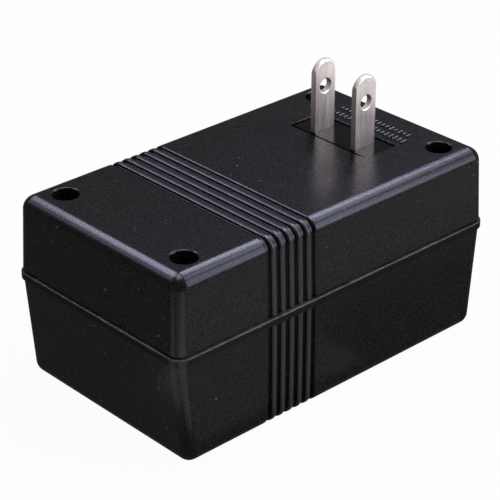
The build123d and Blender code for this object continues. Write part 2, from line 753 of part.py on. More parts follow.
lower_winding, upper_winding = winding_heights()
write("rear_shell", make_rear_shell())
write("front_shell", make_front_shell())
write("case_screws", make_case_screws())
write("blade_carrier", make_blade_carrier())
write("blade_clamp", make_blade_clamp())
write("clamp_screws", make_clamp_screws())
write("plug_blade_left", make_blade(-1))
write("plug_blade_right", make_blade(1))
write("socket_body", make_socket_body())
write("socket_contact_left", make_socket_contact(-1))
write("socket_contact_right", make_socket_contact(1))
write("socket_cover", make_socket_cover())
write("socket_screws", make_socket_screws())
write("core_e_stack", make_core_e_stack())
write("core_i_stack", make_core_i_stack())
write("core_strap", make_core_strap())
write("strap_screws", make_strap_screws())
write("bobbin", make_bobbin())
write("input_winding", make_winding(lower_winding))
write("output_winding", make_winding(upper_winding))
write("winding_tapes", [make_tape(lower_winding), make_tape(upper_winding)])
write("terminal_pins", make_terminal_pins())
write("thermal_cutout", make_thermal_cutout())
for lead_name, lead in make_leads().items():
    write(lead_name, lead)
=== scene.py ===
# %% [markdown]
# A travel voltage converter, dressed in Blender.
#
# The real object is a black moulded case in two halves, with a flat two-blade plug on its rear
# face and an outlet on the face that it lies on. Inside are a small transformer and its wiring.
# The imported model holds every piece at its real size. This lesson gives those pieces their
# finish: softened moulded edges, spark-eroded plastic, nickel, brass, steel, copper and nylon.
# We load the model first, because all that follows is measured from it.

# %% Load the fixed frame
import json
import math
import bmesh
import bpy
from mathutils import Matrix, Vector


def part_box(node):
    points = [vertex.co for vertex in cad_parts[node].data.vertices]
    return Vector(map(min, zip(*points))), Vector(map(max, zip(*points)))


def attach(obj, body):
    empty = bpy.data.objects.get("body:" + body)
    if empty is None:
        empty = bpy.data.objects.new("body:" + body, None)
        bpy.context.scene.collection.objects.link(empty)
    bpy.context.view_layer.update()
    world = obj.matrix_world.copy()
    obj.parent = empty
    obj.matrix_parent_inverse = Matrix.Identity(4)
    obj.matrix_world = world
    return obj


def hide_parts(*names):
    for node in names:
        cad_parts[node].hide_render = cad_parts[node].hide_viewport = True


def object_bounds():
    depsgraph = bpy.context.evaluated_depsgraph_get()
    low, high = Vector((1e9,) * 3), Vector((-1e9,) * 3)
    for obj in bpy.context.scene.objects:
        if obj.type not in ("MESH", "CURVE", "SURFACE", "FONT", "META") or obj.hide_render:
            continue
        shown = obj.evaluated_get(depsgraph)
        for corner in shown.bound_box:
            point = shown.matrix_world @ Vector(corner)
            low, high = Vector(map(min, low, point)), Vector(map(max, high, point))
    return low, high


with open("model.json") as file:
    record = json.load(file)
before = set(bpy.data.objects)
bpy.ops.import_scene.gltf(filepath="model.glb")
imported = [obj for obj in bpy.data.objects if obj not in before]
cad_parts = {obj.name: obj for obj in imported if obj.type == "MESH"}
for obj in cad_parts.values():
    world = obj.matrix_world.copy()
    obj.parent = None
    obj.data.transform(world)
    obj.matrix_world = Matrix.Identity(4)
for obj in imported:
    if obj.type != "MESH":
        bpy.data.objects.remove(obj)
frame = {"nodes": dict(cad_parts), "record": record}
nodes = frame["nodes"]
cad_low, cad_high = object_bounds()
mm = 0.001
print("nodes", len(nodes), "size in mm", [round(v / mm, 2) for v in cad_high - cad_low])

# %% [markdown]
# Places that later steps share could be typed in, but they would be wrong as soon as the model
# changed, so they are read from it. The rear face is the top of the rear shell, the joint of the
# case is the top of the front shell, and the smooth sunk pad round the blades is the top of the
# blade carrier.

# %% Read the places that later steps need
rear_face_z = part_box("rear_shell")[1].z
joint_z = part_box("front_shell")[1].z
pad_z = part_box("blade_carrier")[1].z
blade_low, blade_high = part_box("plug_blade_left")
blade_x = (blade_low.x + blade_high.x) / 2
heights = {"rear face": rear_face_z, "joint": joint_z, "pad": pad_z, "blade tip": blade_high.z}
print("heights in mm", {label: round(height / mm, 2) for label, height in heights.items()})
print("blades at x", round(blade_x / mm, 2), "mm")

# %% [markdown]
# The ribs and the rim band get a finish of their own, so their places are measured too. A groove's
# mouth is a long straight edge across the rear face, and two such edges make one groove. The rim
# band is what reaches furthest out on the front shell.

# %% Measure the grooves and the rim band
close_to = 0.01 * mm
middle_half = cad_high.x * 0.6          # all the grooves lie within this of the case's middle


def long_edges_across(mesh, height, least):
    """Places along X of the edges at that height that run along Y for at least that far."""
    places = set()
    for edge in mesh.edges:
        start, end = (mesh.vertices[index].co for index in edge.vertices)
        offsets = (start.z - height, end.z - height, start.x - end.x)
        is_straight = max(abs(offset) for offset in offsets) < close_to
        if is_straight and abs(start.y - end.y) > least:
            places.add(round(start.x / mm, 2) * mm)
    return sorted(places)


edges_across = long_edges_across(nodes["rear_shell"].data, rear_face_z, cad_high.y)
mouths = [x for x in edges_across if abs(x) < middle_half]
groove_middles = [(left + right) / 2 for left, right in zip(mouths[::2], mouths[1::2])]
groove_pitch = groove_middles[1] - groove_middles[0]
groove_half = (mouths[1] - mouths[0]) / 2
rim_levels = [vertex.co.z for vertex in nodes["front_shell"].data.vertices
              if cad_high.y - abs(vertex.co.y) < close_to]
rim_low, rim_high = min(rim_levels), max(rim_levels)
print("grooves", len(groove_middles), "pitch", round(groove_pitch / mm, 2), "mm, half width",
      round(groove_half / mm, 3), "mm")
print("rim band from", round(rim_low / mm, 2), "to", round(rim_high / mm, 2), "mm")

# %% [markdown]
# A finish in Blender is a tree of shader nodes. It could be painted as an image instead, but an
# image needs a file and an unwrapped mesh. Node trees are long when each link is written out, so a
# few helpers keep them short.

# %% Helpers for a material's nodes
def shader_of(material):
    """The shader that every new material has."""
    return material.node_tree.nodes["Principled BSDF"]


def new_material(name, colour, roughness, metallic=0.0):
    """A material whose shader has these plain values, ready for patterns."""
    material = bpy.data.materials.new(name)
    material.use_nodes = True
    shader = shader_of(material)
    shader.inputs["Base Color"].default_value = (*colour, 1)
    shader.inputs["Roughness"].default_value = roughness
    shader.inputs["Metallic"].default_value = metallic
    return material


def add_node(material, kind, **values):
    """A new shader node with its properties or input values set by name."""
    node = material.node_tree.nodes.new(kind)
    for key, value in values.items():
        name = key.replace("_", " ")
        if name in node.inputs:
            node.inputs[name].default_value = value
        else:
            setattr(node, key, value)
    return node


def join(material, output, target):
    """A link between two sockets."""
    material.node_tree.links.new(output, target)


def feed(material, **sockets):
    """Links patterns to the shader's inputs by name."""
    for key, socket in sockets.items():
        join(material, socket, shader_of(material).inputs[key.replace("_", " ")])


def fed_by(material, name):
    """The pattern that an input of the shader reads so far, so that another can go over it."""
    return shader_of(material).inputs[name].links[0].from_socket


print("helpers for nodes", [helper.__name__ for helper in (new_material, add_node, join, feed, fed_by)])

# %% [markdown]
# Every pattern reads Object coordinates, in metres, so it stays on the piece and has a real size:
# a noise of scale 2000 has grains of about half a millimetre. Spreading the noise over a chosen
# range turns it into tones, and a narrow range near its peaks leaves only scattered specks.

# %% Helpers for places and patterns
mix_sockets = {"FLOAT": (2, 3, 0), "RGBA": (6, 7, 2)}       # a Mix node's two inputs and its output


def object_points(material, stretch=(1, 1, 1)):
    """Object coordinates, drawn out along an axis where stretch is under 1."""
    place = add_node(material, "ShaderNodeTexCoord")
    mapping = add_node(material, "ShaderNodeMapping", Scale=stretch)
    join(material, place.outputs["Object"], mapping.inputs["Vector"])
    return mapping.outputs["Vector"]


def along(material, axis, coordinates="Object"):
    """How far a point lies along an axis, in metres, or with Normal how much it faces that way."""
    place = add_node(material, "ShaderNodeTexCoord")
    parts = add_node(material, "ShaderNodeSeparateXYZ")
    join(material, place.outputs[coordinates], parts.inputs["Vector"])
    return parts.outputs[axis]


def grain(material, scale, detail=2.0, stretch=(1, 1, 1)):
    """A noise pattern, as its factor socket."""
    noise = add_node(material, "ShaderNodeTexNoise", Scale=scale, Detail=detail)
    join(material, object_points(material, stretch), noise.inputs["Vector"])
    return noise.outputs["Fac"]


def spread(material, factor, low, high, from_low=0.3, from_high=0.7):
    """The factor mapped to a range of values."""
    node = add_node(material, "ShaderNodeMapRange")
    node.inputs["From Min"].default_value = from_low
    node.inputs["From Max"].default_value = from_high
    node.inputs["To Min"].default_value = low
    node.inputs["To Max"].default_value = high
    join(material, factor, node.inputs["Value"])
    return node.outputs["Result"]


def peaks(material, factor, start, full, most=1.0):
    """A mask of a pattern's highest values: nothing up to start, and the most from full upwards."""
    return spread(material, factor, 0, most, start, full)


def work_out(material, operation, first, second=0.0):
    """One sum on a socket and a number or another socket."""
    node = add_node(material, "ShaderNodeMath", operation=operation)
    join(material, first, node.inputs[0])
    if isinstance(second, bpy.types.NodeSocket):
        join(material, second, node.inputs[1])
    else:
        node.inputs[1].default_value = second
    return node.outputs["Value"]


def blend(material, kind, factor, low, high):
    """A number or a colour that goes from low to high with the factor."""
    node = add_node(material, "ShaderNodeMix", data_type=kind)
    first, second, result = mix_sockets[kind]
    join(material, factor, node.inputs[0])
    for socket, value in ((node.inputs[first], low), (node.inputs[second], high)):
        if isinstance(value, bpy.types.NodeSocket):
            join(material, value, socket)
        else:
            socket.default_value = (*value, 1) if kind == "RGBA" else value
    return node.outputs[result]


def blend_colours(material, factor, low, high):
    """A colour that goes from low to high with the factor."""
    return blend(material, "RGBA", factor, low, high)


def raise_surface(material, height, distance, strength=1.0, below=None):
    """A bump of that height pattern, on top of another bump if one is given."""
    node = add_node(material, "ShaderNodeBump", Distance=distance, Strength=strength)
    join(material, height, node.inputs["Height"])
    if below is not None:
        join(material, below, node.inputs["Normal"])
    return node.outputs["Normal"]


print("helpers for patterns", [helper.__name__ for helper in (grain, peaks, blend_colours, raise_surface)])

# %% [markdown]
# On the case, the tops of the ribs are painted paler, a painted sheen for the light that their rounded
# tops mirror, and the grooves are painted black, a painted shade. The rim band is made black, and its
# upper edge is painted paler, partly scuffs and partly a painted highlight of the light line along it.
# Each shell could be cut into pieces with materials of their own, but masks inside one material keep it
# whole. A mask is a number from 0 to 1 that follows from a point's place: how far it is from the nearest
# groove, or how high up it lies.

# %% Masks for the ribs' painted sheen, the grooves' painted shade and the rim
groove_radius = 0.45 * mm               # the rounding of a groove's mouth, also used for the edges


def between(material, place, rise, fall):
    """A mask that rises from 0 to 1 over the first two places and falls over the other two."""
    above = spread(material, place, 0, 1, *rise)
    below = spread(material, place, 1, 0, *fall)
    return work_out(material, "MULTIPLY", above, below)


def groove_sheen_and_shade_masks(material):
    """One mask that is 1 where the ribs' tops get a painted sheen, and one that is 1 down in the grooves,
    where they get a painted shade.
    """
    x = along(material, "X")
    row_middle = (groove_middles[0] + groove_middles[-1]) / 2
    row_half = groove_middles[-1] - row_middle
    from_first = work_out(material, "SUBTRACT", x, groove_middles[0])
    to_groove = work_out(material, "PINGPONG", from_first, groove_pitch / 2)
    to_middle = work_out(material, "ABSOLUTE", work_out(material, "SUBTRACT", x, row_middle))
    # the painted sheen on a rib's top sets in over the rounding of a groove's mouth, and the painted shade
    # fills the groove
    on_crown = spread(material, to_groove, 0, 1, groove_half, groove_half + groove_radius)
    in_row = spread(material, to_middle, 1, 0, row_half - 0.05 * mm, row_half)
    in_groove = spread(material, to_groove, 1, 0, groove_half * 0.8, groove_half * 1.05)
    in_reach = spread(material, to_middle, 1, 0, row_half + groove_half, row_half + groove_half * 1.2)
    painted_crown_sheen = work_out(material, "MULTIPLY", on_crown, in_row)
    painted_groove_shade = work_out(material, "MULTIPLY", in_groove, in_reach)
    return painted_crown_sheen, painted_groove_shade


def rim_mask(material):
    """1 on the rim band, up to just under its upper edge."""
    rise = (rim_low - 0.05 * mm, rim_low + 0.1 * mm)
    fall = (rim_high - 0.35 * mm, rim_high - 0.1 * mm)
    return between(material, along(material, "Z"), rise, fall)


def rim_scuffs_and_highlight(material):
    """Uneven paler patches along the rim band's upper edge: partly scuffs where it takes the knocks,
    partly a painted highlight of the light line along that edge.
    """
    rise = (rim_high - 0.22 * mm, rim_high - 0.08 * mm)
    fall = (joint_z, joint_z + 0.03 * mm)
    edge = between(material, along(material, "Z"), rise, fall)
    cloud = grain(material, scale=170, detail=3.0)
    patches = spread(material, cloud, 0.25, 1.0, from_low=0.38, from_high=0.66)
    return work_out(material, "MULTIPLY", edge, patches)


print("masks for", len(groove_middles) - 1, "ribs,", len(groove_middles), "grooves and the rim band")

# %% [markdown]
# The case is injection moulded in a tool whose cavity was spark eroded, so its skin is a fine
# random grain that scatters light. Black plastic reflects little face on and more at a slant.
# A thin coat layer gives that gloss evenly and can be weighed against the dark body. Specks of dust
# and a few pale scuffs come from thresholds on noise, because the photographed case isn't new.

# %% A thin coat for the gloss
coat_index = 1.5                        # as of plastic


def coat_thinly(material, weight, roughness):
    """Takes the body's own gloss away and lays a thin coat over it."""
    shader = shader_of(material)
    shader.inputs["Specular IOR Level"].default_value = 0.0
    shader.inputs["Coat Weight"].default_value = weight
    shader.inputs["Coat Roughness"].default_value = roughness
    shader.inputs["Coat IOR"].default_value = coat_index


print("coat with index", coat_index)

# %% The case's colours
black = (0.0, 0.0, 0.0)
# a painted sheen: the ribs' tops are made paler to stand for the light that they mirror
crown_sheen_colour = (0.036, 0.036, 0.038)
dust_colour = (0.2, 0.2, 0.205)
scuff_colour = (0.07, 0.07, 0.075)
# the worn colour is partly scuffs and partly a painted highlight along the rim's upper edge
worn_and_highlight_colour = (0.085, 0.085, 0.085)


def case_body(material, fine, coarse):
    """The moulded black: pits and pale grains, a painted sheen on the ribs' tops, painted shade in the
    grooves, and a black rim band.
    """
    darker, paler = (0.0112, 0.0112, 0.0117), (0.0140, 0.0140, 0.0149)
    light = blend_colours(material, spread(material, coarse, 0, 1), darker, paler)
    speckle = peaks(material, fine, start=0.37, full=0.64)
    body = blend_colours(material, speckle, black, light)
    painted_crown_sheen, painted_groove_shade = groove_sheen_and_shade_masks(material)
    body = blend_colours(material, painted_crown_sheen, body, crown_sheen_colour)
    # painted shade: the grooves are made black, and the rim band is made black too
    for mask in (painted_groove_shade, rim_mask(material)):
        body = blend_colours(material, mask, body, black)
    return body


def case_wear_and_rim_highlight(material, body):
    """Dust, scuffs drawn out along Y, and the rim's paler edge, part scuffs and part painted highlight,
    over the body's colour.
    """
    specks = grain(material, scale=760, detail=1.0)
    streaks = grain(material, scale=300, stretch=(1, 0.12, 1))
    dust = peaks(material, specks, start=0.76, full=0.82, most=0.8)
    scuffs = peaks(material, streaks, start=0.70, full=0.80, most=0.3)
    dusty = blend_colours(material, dust, body, dust_colour)
    scuffed = blend_colours(material, scuffs, dusty, scuff_colour)
    return blend_colours(material, rim_scuffs_and_highlight(material), scuffed, worn_and_highlight_colour)


print("case colours from", black, "to dust at", dust_colour)

# %% Case plastic
skin_depth = 0.022 * mm                 # how deep the spark-eroded grain is
swell_depth = 0.12 * mm                 # the slow waviness of a moulded wall


def make_case_plastic():
    """Dull black plastic with a spark-eroded skin and light wear."""
    material = new_material("case_plastic", (0.016, 0.016, 0.017), 0.5)
    coat_thinly(material, weight=0.088, roughness=0.27)
    coarse = grain(material, scale=420, detail=3.0)
    fine = grain(material, scale=2300)
    slow = grain(material, scale=60, detail=1.0)
    colour = case_wear_and_rim_highlight(material, case_body(material, fine, coarse))
    skin = raise_surface(material, fine, skin_depth, strength=0.9)
    swell = raise_surface(material, slow, swell_depth, strength=0.35, below=skin)
    sheen = raise_surface(material, fine, skin_depth, strength=0.25)
    uneven = spread(material, coarse, low=0.42, high=0.6)
    feed(material, Base_Color=colour, Roughness=uneven, Normal=swell, Coat_Normal=sheen)
    return material


materials = {"case_plastic": make_case_plastic()}
print("made", list(materials), "with a grain", round(skin_depth / mm, 3), "mm deep")

# %% [markdown]
# The carrier round the blades and the outlet's body are moulded in a polished tool, so they are
# smoother and shinier than the case and hold no grain to speak of. The same thin coat does that
# with a lower roughness, over a darker body with only soft clouds of tone.

# %% Insert plastic
def make_insert_plastic():
    """Smooth black plastic."""
    material = new_material("insert_plastic", (0.010, 0.010, 0.011), 0.3)
    coat_thinly(material, weight=0.085, roughness=0.18)
    darker, paler = (0.003, 0.003, 0.0033), (0.006, 0.006, 0.0065)
    cloud = grain(material, scale=250)
    texture = grain(material, scale=900, detail=1.0)
    tone = blend_colours(material, spread(material, cloud, 0, 1), darker, paler)
    skin = raise_surface(material, texture, 0.01 * mm, strength=0.4)
    feed(material, Base_Color=tone, Roughness=spread(material, cloud, low=0.22, high=0.36), Normal=skin)
    return material


materials["insert_plastic"] = make_insert_plastic()
print("made", list(materials)[-1])

# %% [markdown]
# Metals have no colour of their own under the gloss: all that is seen is reflection, so their finish
# is in the roughness and in fine lines. Screws and strap are zinc plated, the contacts are bare
# brass, the pins are tinned, and the cut-out has a plain can. One function makes them all from a
# short list, because they differ only in tone, in roughness and in the way that the lines run.

# %% Metals
along_x, along_z = (0.05, 1, 1), (1, 1, 0.05)
all_ways = (1, 1, 1)


def make_metal(name, dark, light, roughness, lines, depth=0.004 * mm):
    """Metal with clouds of tone, small dull spots, and lines drawn out along an axis."""
    material = new_material(name, light, roughness, 1.0)
    cloud = grain(material, scale=180, detail=3.0)
    line = grain(material, scale=1500, detail=3.0, stretch=lines)
    spots = grain(material, scale=2100, detail=3.0)
    dull = tuple(0.72 * value for value in dark)
    tone = blend_colours(material, spread(material, cloud, 0, 1), dark, light)
    spotted = blend_colours(material, peaks(material, spots, start=0.42, full=0.70, most=0.5), tone, dull)
    skin = raise_surface(material, line, depth, strength=0.6)
    uneven = spread(material, line, low=roughness * 0.9, high=roughness * 1.12)
    feed(material, Base_Color=spotted, Roughness=uneven, Normal=skin)
    return material


for name, dark, light, roughness, lines in (
        ("contact_brass", (0.60, 0.42, 0.18), (0.78, 0.58, 0.27), 0.28, along_z),
        ("screw_steel", (0.42, 0.42, 0.44), (0.56, 0.56, 0.58), 0.34, all_ways),
        ("strap_steel", (0.45, 0.45, 0.46), (0.60, 0.60, 0.61), 0.32, along_x),
        ("pin_tin", (0.60, 0.60, 0.60), (0.74, 0.74, 0.73), 0.3, all_ways),
        ("cutout_can", (0.50, 0.50, 0.52), (0.66, 0.66, 0.68), 0.3, along_x)):
    materials[name] = make_metal(name, dark, light, roughness, lines)
print("metals", list(materials)[2:])

# %% [markdown]
# The blades were rolled, sheared to width and then nickel plated. Rolling leaves faint lines along
# them, and shearing leaves their narrow sides dull. The foot gets a painted shade, darker where the
# blade mirrors the black case, which fades out towards the tips. We lay both over the plain metal:
# one by the way that a face looks, the other by height.

# %% Blade nickel
def dull_sides(material, axis, roughness, colour):
    """Faces that look along an axis were sheared, not rolled, so they are rougher and darker."""
    facing = work_out(material, "ABSOLUTE", along(material, axis, "Normal"))
    sheared = peaks(material, facing, start=0.6, full=0.9)
    rougher = blend(material, "FLOAT", sheared, fed_by(material, "Roughness"), roughness)
    darker = blend_colours(material, sheared, fed_by(material, "Base Color"), colour)
    feed(material, Roughness=rougher, Base_Color=darker)


def paint_foot_shade(material, low, high, colour):
    """A painted shade on the foot, where the blade mirrors the black case, fading out from the low place
    to the high one.
    """
    shade_share = spread(material, along(material, "Z"), 0.55, 0.0, from_low=low, from_high=high)
    feed(material, Base_Color=blend_colours(material, shade_share, fed_by(material, "Base Color"), colour))


nickel_dark, nickel_light = (0.46, 0.425, 0.405), (0.58, 0.54, 0.52)
# the foot's colour is a painted shade for the black case that the lower blade mirrors
side_colour, foot_shade_colour = (0.26, 0.24, 0.23), (0.28, 0.255, 0.245)
nickel = make_metal("blade_nickel", nickel_dark, nickel_light, 0.32, along_z, depth=0.0015 * mm)
dull_sides(nickel, "X", 0.5, side_colour)
paint_foot_shade(nickel, pad_z + 2 * mm, blade_high.z - 2 * mm, foot_shade_colour)
materials["blade_nickel"] = nickel
print("blades", round((blade_high.z - pad_z) / mm, 1), "mm out of the pad, brighter towards the tips")

# %% [markdown]
# The transformer's core is a stack of thin varnished sheets that lie across it, so its colour and
# surface change in narrow bands along Y. The windings show the same in bands along Z, at the
# pitch of the wire. Sheets and turns could be modelled one by one, but they lie inside the case,
# so a wave pattern at the real pitch does for both.

# %% Sheets and wire
sheet_pitch = 0.5 * mm
wire_pitch = 0.35 * mm


def make_banded(name, dark, light, roughness, metallic, axis, pitch, depth):
    """Fine bands across an axis, at a real pitch, with noise that makes them uneven."""
    material = new_material(name, light, roughness, metallic)
    wave = add_node(material, "ShaderNodeTexWave", bands_direction=axis, Distortion=0.4, Detail=1.0)
    wave.inputs["Scale"].default_value = math.tau / (20 * pitch)    # it repeats every tau / 20
    join(material, object_points(material), wave.inputs["Vector"])
    band = wave.outputs["Fac"]
    cloud = grain(material, scale=220, detail=3.0)
    tone = blend_colours(material, band, dark, light)
    aged = blend_colours(material, spread(material, cloud, 0, 0.35), tone, dark)
    skin = raise_surface(material, band, depth, strength=0.8)
    uneven = spread(material, cloud, low=roughness * 0.8, high=roughness * 1.2)
    feed(material, Base_Color=aged, Roughness=uneven, Normal=skin)
    return material


materials["core_steel"] = make_banded(
    "core_steel", (0.06, 0.055, 0.05), (0.17, 0.17, 0.18), 0.45, 0.8, "Y", sheet_pitch, 0.05 * mm)
materials["winding_copper"] = make_banded(
    "winding_copper", (0.22, 0.06, 0.02), (0.62, 0.24, 0.09), 0.28, 0.9, "Z", wire_pitch, 0.08 * mm)
print("bands in mm", {"core": round(sheet_pitch / mm, 2), "windings": round(wire_pitch / mm, 2)})

# %% [markdown]
# Nylon, tape and the leads' insulation are plain smooth plastics. What tells them from flat
# colour is a soft cloud of tone and a faint texture under the light, each at its own scale.

# %% Nylon, tape and leads
def make_smooth(name, dark, light, roughness, scale=300):
    """Plain moulded, wrapped or extruded plastic with soft clouds of tone and a faint texture."""
    material = new_material(name, light, roughness)
    cloud = grain(material, scale)
    texture = grain(material, 4 * scale)
    tone = blend_colours(material, spread(material, cloud, 0, 1), dark, light)
    skin = raise_surface(material, texture, 0.01 * mm, strength=0.5)
    uneven = spread(material, cloud, low=roughness * 0.85, high=roughness * 1.15)
    feed(material, Base_Color=tone, Roughness=uneven, Normal=skin)
    return material


materials["bobbin_nylon"] = make_smooth("bobbin_nylon", (0.74, 0.71, 0.61), (0.84, 0.82, 0.74), 0.42)
materials["winding_tape"] = make_smooth("winding_tape", (0.74, 0.48, 0.06), (0.86, 0.62, 0.12), 0.25, 500)
materials["lead_black"] = make_smooth("lead_black", (0.018, 0.018, 0.018), (0.032, 0.032, 0.032), 0.4)
materials["lead_red"] = make_smooth("lead_red", (0.42, 0.025, 0.02), (0.56, 0.04, 0.03), 0.38)
materials["lead_blue"] = make_smooth("lead_blue", (0.02, 0.09, 0.36), (0.03, 0.13, 0.46), 0.38)
print("smooth plastics", list(materials)[-5:])

# %% [markdown]
# The record says which material slot each piece of the object takes. We read it from there, so
# that a piece and its finish can't get out of step.

# %% Put a material on every node
slot_of = {row["node"]: row["material_slot"] for row in frame["record"]["subparts"]}
for name, node in nodes.items():
    node.data.materials.clear()
    node.data.materials.append(materials[slot_of[name]])
print("materials", len(materials), "on", len(slot_of), "nodes")

# %% [markdown]
# A real moulding has no razor edge: light runs along a small radius on every rib, hole and rim, and
# those bright lines are what make the grooves read in the photograph. The frame's meshes have the
# true large radii but sharp small edges, because tiny roundings would make the CAD heavy. We copy
# such a mesh, merge its loose triangles, clear the flat faces of needless edges, and let a Bevel
# round what is still sharp. It only cuts inwards, so the size stays.

# %% Copy a node's mesh and merge its triangles
merge_distance = 0.002 * mm
flat_angle = math.radians(0.4)


def merged_copy(name):
    """A bmesh of a node with its triangles joined and its flat faces made whole."""
    shape = bmesh.new()
    shape.from_mesh(nodes[name].data)
    bmesh.ops.remove_doubles(shape, verts=shape.verts, dist=merge_distance)
    bmesh.ops.dissolve_limit(shape, angle_limit=flat_angle, verts=shape.verts, edges=shape.edges)
    return shape


def open_edges(shape):
    """How many edges don't join exactly two faces. A closed shape has none."""
    return sum(1 for edge in shape.edges if len(edge.link_faces) != 2)


def finish_piece(shape, name, node_name):
    """Turns a bmesh into a piece that stands for a node and wears its material."""
    mesh = bpy.data.meshes.new(name)
    shape.to_mesh(mesh)
    shape.free()
    piece = bpy.data.objects.new(name, mesh)
    bpy.context.scene.collection.objects.link(piece)
    mesh.materials.append(materials[slot_of[node_name]])
    mesh.shade_smooth()
    return piece


print("points closer than", round(merge_distance / mm, 3), "mm become one")

# %% [markdown]
# Not every edge is as soft. The grooves' mouths are rounded most, and the case's other small edges
# have hardly any radius. A bevel weight on each edge says which share of the largest radius it gets,
# so one Bevel does both. Weighted normals then keep the flat faces flat to the light. The pad, the
# blades and the outlet have one small radius all over.

# %% Choose the radius of each edge
sharp_angle = math.radians(28)
case_edge_radius = 0.12 * mm
near_skin = 1.9 * mm                    # an edge this near to the case's outside is on its outside


def on_groove_mouth(edge):
    """True for the outer edges of the grooves that run round the middle of the case."""
    if not edge.is_convex or not any(abs(face.normal.x) > 0.99 for face in edge.link_faces):
        return False
    middle = (edge.verts[0].co + edge.verts[1].co) / 2
    inward = min(cad_high.y - abs(middle.y), rear_face_z - middle.z, middle.z)
    return inward < near_skin and abs(middle.x) < middle_half


def case_share(edge):
    """The share of the groove mouths' radius that the mould gives an edge of the case."""
    return 1.0 if on_groove_mouth(edge) else case_edge_radius / groove_radius


def full_share(edge):
    """Every edge alike."""
    return 1.0


def weigh_edges(shape, share_of):
    """Marks the sharp edges for the bevel, each with its share of the radius, and counts them."""
    weights = shape.edges.layers.float.new("bevel_weight_edge")
    sharp = [edge for edge in shape.edges
             if len(edge.link_faces) == 2 and edge.calc_face_angle() > sharp_angle]
    for edge in sharp:
        edge[weights] = share_of(edge)
    return len(sharp)


for label, radius in (("groove mouths", groove_radius), ("the case's other edges", case_edge_radius)):
    print(label, round(radius / mm, 2), "mm")

# %% Round the small edges of the visible pieces
def add_bevel(piece, radius, segments):
    """Rounds the marked edges, and keeps the flat faces flat to the light."""
    bevel = piece.modifiers.new("soft_edges", "BEVEL")
    bevel.width = radius
    bevel.segments = segments
    bevel.limit_method = "WEIGHT"
    bevel.use_clamp_overlap = False
    bevel.miter_outer = "MITER_ARC"
    weighted = piece.modifiers.new("flat_faces", "WEIGHTED_NORMAL")
    weighted.keep_sharp = True
    weighted.weight = 60


edge_radii = {"rear_shell": groove_radius, "front_shell": groove_radius, "blade_carrier": 0.10 * mm,
              "plug_blade_left": 0.10 * mm, "plug_blade_right": 0.10 * mm, "socket_body": 0.15 * mm}
rounded_pieces = {}
for name, radius in edge_radii.items():
    is_case = slot_of[name] == "case_plastic"
    shape = merged_copy(name)
    sharp = weigh_edges(shape, case_share if is_case else full_share)
    print(name, "faces", len(shape.faces), "open edges", open_edges(shape), "sharp edges", sharp)
    piece = finish_piece(shape, name + "_rounded", name)
    add_bevel(piece, radius, segments=3 if is_case else 2)
    rounded_pieces[name] = piece

# %% [markdown]
# Two rows of plain raised bars stand beside the blades. They are all of one width, and only their
# lengths differ. They could be cut one by one in a mesh, but what repeats along a row is a task for
# Geometry Nodes: a line of points, a bar on each, a length drawn from a fixed seed, and one mesh
# at the end.

# %% Helpers for node trees
def new_tree(name, sizes):
    """A geometry tree with named number inputs, its input node and its output node."""
    tree = bpy.data.node_groups.new(name, "GeometryNodeTree")
    tree.interface.new_socket("Geometry", in_out="OUTPUT", socket_type="NodeSocketGeometry")
    for label, kind in sizes.items():
        tree.interface.new_socket(label, in_out="INPUT", socket_type="NodeSocket" + kind)
    return tree, tree.nodes.new("NodeGroupInput"), tree.nodes.new("NodeGroupOutput")


def tree_node(tree, kind, links, **values):
    """A node in the tree: links joins or sets its inputs, and values sets its properties."""
    node = tree.nodes.new(kind)
    for key, value in values.items():
        setattr(node, key, value)
    for key, value in links.items():
        if isinstance(value, bpy.types.NodeSocket):
            tree.links.new(value, node.inputs[key])
        else:
            node.inputs[key].default_value = value
    return node


def close_tree(tree, geometry, material, group_out):
    """Ends a tree in Realize Instances and Set Material."""
    real = tree_node(tree, "GeometryNodeRealizeInstances", {"Geometry": geometry})
    coloured = tree_node(tree, "GeometryNodeSetMaterial",
                         {"Geometry": real.outputs["Geometry"], "Material": material})
    tree.links.new(coloured.outputs["Geometry"], group_out.inputs["Geometry"])


def grow(name, tree, values, bevel):
    """Runs a tree with its inputs set, rounds the result, and returns it as a plain mesh object."""
    seed_mesh = bpy.data.meshes.new(name + "_seed")
    carrier = bpy.data.objects.new(name + "_carrier", seed_mesh)
    bpy.context.scene.collection.objects.link(carrier)
    modifier = carrier.modifiers.new("grow", "NODES")
    modifier.node_group = tree
    for item in tree.interface.items_tree:
        if item.in_out == "INPUT":
            modifier[item.identifier] = values[item.name]
    rounding = carrier.modifiers.new("round", "BEVEL")
    rounding.width = bevel
    rounding.segments = 2
    rounding.limit_method = "ANGLE"
    view = bpy.context.evaluated_depsgraph_get()
    mesh = bpy.data.meshes.new_from_object(carrier.evaluated_get(view))
    bpy.data.objects.remove(carrier)
    piece = bpy.data.objects.new(name, mesh)
    bpy.context.scene.collection.objects.link(piece)
    mesh.name = name
    print(name, "faces", len(mesh.polygons))
    return piece


print("helpers for trees", [helper.__name__ for helper in (new_tree, tree_node, close_tree, grow)])

